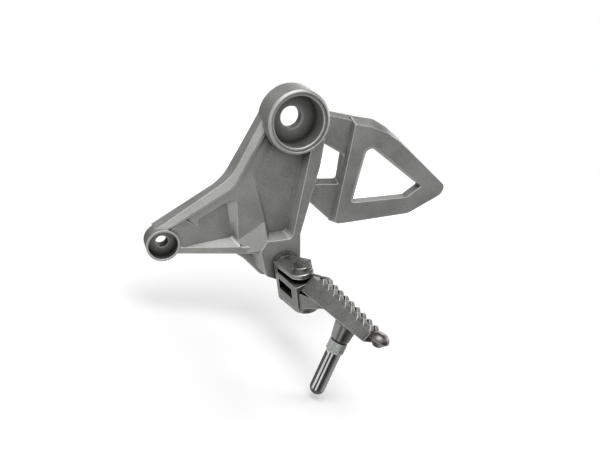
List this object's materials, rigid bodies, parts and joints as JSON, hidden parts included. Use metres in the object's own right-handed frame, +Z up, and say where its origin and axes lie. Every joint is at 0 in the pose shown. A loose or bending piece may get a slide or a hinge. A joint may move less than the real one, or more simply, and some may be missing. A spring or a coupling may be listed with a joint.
{
  "type": "rider footpeg hanger",
  "caption": "Left-hand motorcycle footpeg hanger: pocketed alloy casting with a windowed heel guard, a steel clevis and a sprung folding toothed peg with a feeler bolt below.",
  "frame": {"origin": "axis of the upper mounting bore, on the back face that bolts to the frame", "axes": "+X rearward along the bike, +Y inward to the frame, +Z up as mounted; the peg reaches out along -Y"},
  "size_m": [0.2085, 0.1301, 0.1781],
  "materials": {
    "hanger_alloy": "bead-blasted casting",
    "joint_steel": "zinc plated",
    "fastener_steel": "zinc plated",
    "pin_steel": "zinc plated",
    "spring_steel": "oiled wire",
    "peg_alloy": "tumbled casting",
    "feeler_steel": "polished",
    "dark_steel": "black oxide"
  },
  "bodies": {
    "bracket": {"hanger": "hanger_alloy", "step_joint": "joint_steel", "joint_bolt": "fastener_steel", "joint_washer": "fastener_steel", "pivot_pin": "pin_steel", "pin_washers": "fastener_steel", "split_pin": "fastener_steel", "return_spring": "spring_steel"},
    "peg": {"footpeg": "peg_alloy", "feeler": "feeler_steel", "feeler_washer": "dark_steel"}
  },
  "joints": [
    {"name": "fold", "type": "hinge", "parent": "bracket", "child": "peg", "pos_m": [0.0425, -0.041, -0.1045], "axis": [-0.5, 0, 0.866], "range_deg": [0, 80], "stiffness_Nm_per_rad": 0.6, "springref_deg": -34.38}
  ]
}
